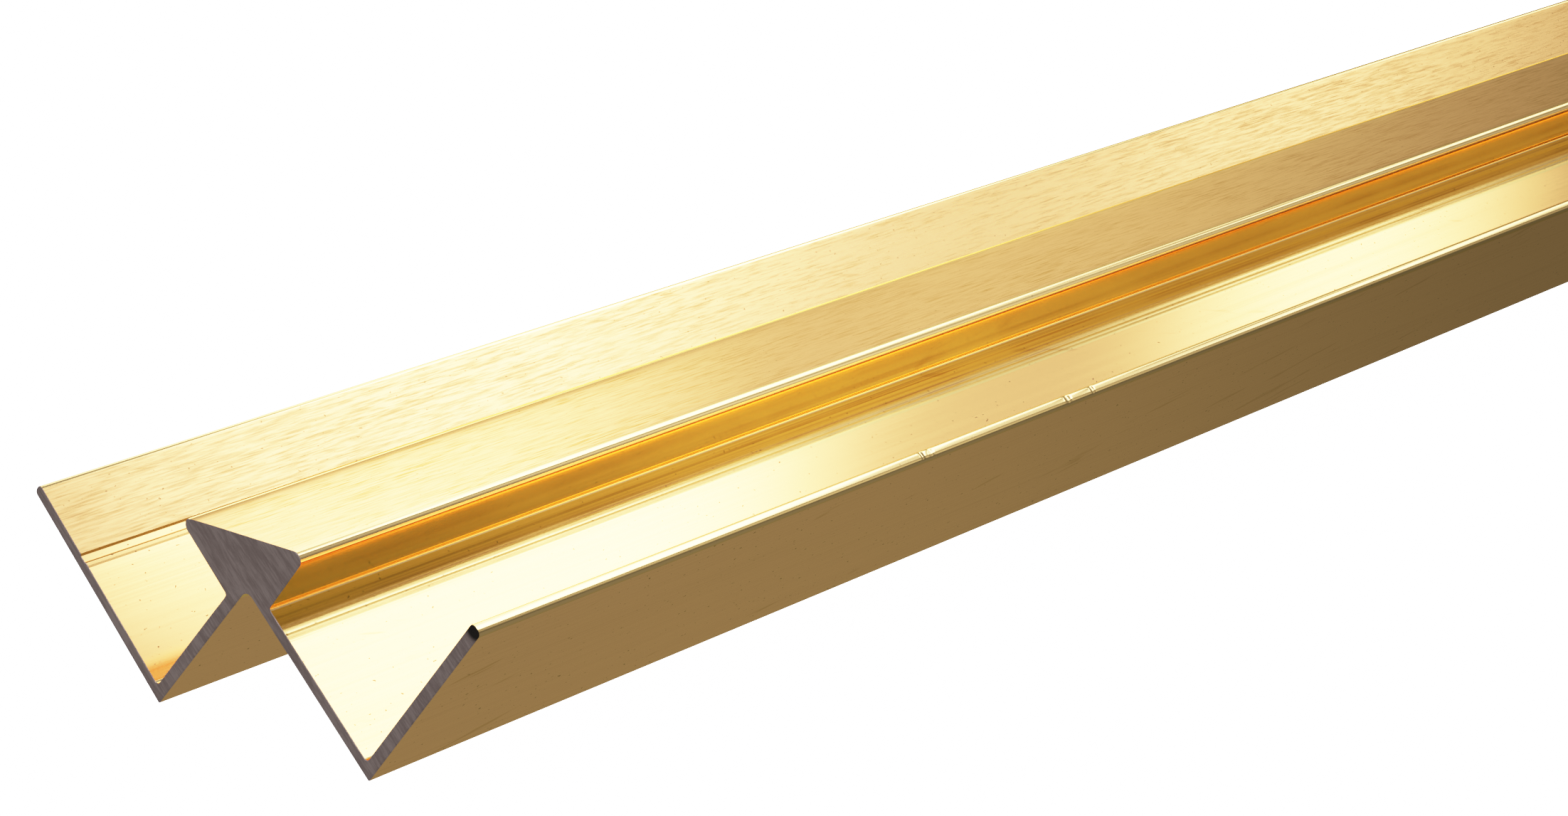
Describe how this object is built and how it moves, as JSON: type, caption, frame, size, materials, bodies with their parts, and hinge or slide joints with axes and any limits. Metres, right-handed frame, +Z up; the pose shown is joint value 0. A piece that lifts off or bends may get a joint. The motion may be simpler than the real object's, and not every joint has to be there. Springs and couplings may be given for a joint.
{
  "type": "double-channel corner trim",
  "caption": "Straight gold-anodised aluminium extrusion with a W-shaped section: two open channels for panel edges either side of a solid triangular head.",
  "frame": {"origin": "middle of the length, midway between the two lower edges, on the surface that they stand on", "axes": "+X across the section to the right, +Y along the extrusion, +Z up through the flat top of the head"},
  "size_m": [0.0412, 0.3, 0.0131],
  "materials": {
    "gold_anodised": "bright gold anodising with fine lengthwise brushing and die lines; the sawn ends are bare grey metal"
  },
  "bodies": {
    "root": {"corner_trim": "gold_anodised"}
  },
  "joints": []
}
